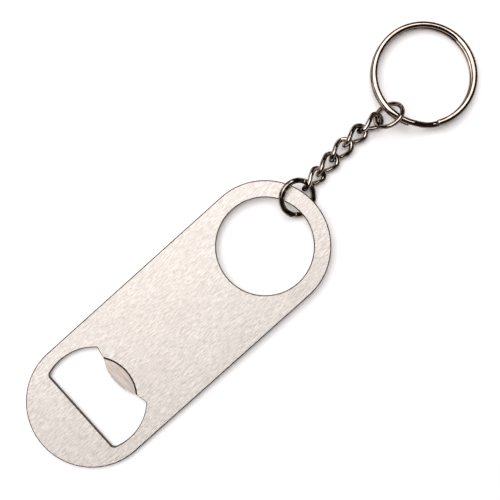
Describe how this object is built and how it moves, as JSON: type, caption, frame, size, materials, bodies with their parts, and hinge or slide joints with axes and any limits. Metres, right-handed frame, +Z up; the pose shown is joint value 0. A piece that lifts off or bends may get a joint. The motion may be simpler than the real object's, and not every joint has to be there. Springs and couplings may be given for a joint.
{
  "type": "keychain bottle opener",
  "caption": "Flat steel bottle opener with a finger hole, a cap cut-out and a recessed lip, on a short twisted-link chain with jump rings and a split key ring.",
  "frame": {"origin": "under the middle of the whole object as it lies on a table, on the table's plane", "axes": "+X along the plate from its cap end to the chain and key ring, +Z up from the table, +Y across the plate"},
  "size_m": [0.1642, 0.0396, 0.0072],
  "materials": {
    "plate_steel": "fine brushing along the plate, satin",
    "wire_nickel": "bright nickel plating"
  },
  "bodies": {
    "plate": {"opener_plate": "plate_steel"},
    "plate_ring": {"plate_jump_ring": "wire_nickel"},
    "link_1": {"chain_link_1": "wire_nickel"},
    "link_2": {"chain_link_2": "wire_nickel"},
    "link_3": {"chain_link_3": "wire_nickel"},
    "link_4": {"chain_link_4": "wire_nickel"},
    "link_5": {"chain_link_5": "wire_nickel"},
    "small_ring": {"key_jump_ring": "wire_nickel"},
    "split_ring": {"key_ring": "wire_nickel"}
  },
  "joints": [
    {"name": "ring_round_rim", "type": "hinge", "parent": "plate", "child": "plate_ring", "pos_m": [0.00189, -0.00126, 0.00272], "axis": [-0.0234, 0, 0.9997], "range_deg": [-80, 50]},
    {"name": "link_1_on_ring", "type": "hinge", "parent": "plate_ring", "child": "link_1", "pos_m": [0.02263, 0.00348, 0.00292], "axis": [-0.1094, 0.8801, 0.462], "range_deg": [-45, 45]},
    {"name": "link_2_on_link_1", "type": "hinge", "parent": "link_1", "child": "link_2", "pos_m": [0.02632, 0.00379, 0.0028], "axis": [0.0308, 0.0293, 0.9991], "range_deg": [-30, 30]},
    {"name": "link_3_on_link_2", "type": "hinge", "parent": "link_2", "child": "link_3", "pos_m": [0.03358, 0.00449, 0.00256], "axis": [0.0936, -0.9937, -0.061], "range_deg": [-32, 32]},
    {"name": "link_4_on_link_3", "type": "hinge", "parent": "link_3", "child": "link_4", "pos_m": [0.03737, 0.0049, 0.00271], "axis": [0.018, 0.0084, -0.9998], "range_deg": [-40, 40]},
    {"name": "link_5_on_link_4", "type": "hinge", "parent": "link_4", "child": "link_5", "pos_m": [0.04467, 0.00478, 0.00284], "axis": [0.0157, 0.9953, 0.0958], "range_deg": [-45, 45]},
    {"name": "small_ring_on_link_5", "type": "hinge", "parent": "link_5", "child": "small_ring", "pos_m": [0.04848, 0.00421, 0.00201], "axis": [-0.5028, -0.6082, 0.6142], "range_deg": [-45, 45]},
    {"name": "key_ring_on_small_ring", "type": "hinge", "parent": "small_ring", "child": "split_ring", "pos_m": [0.05307, 0.00304, 0.00351], "axis": [-0.1219, 0.9925, 0], "range_deg": [-60, 60]}
  ]
}
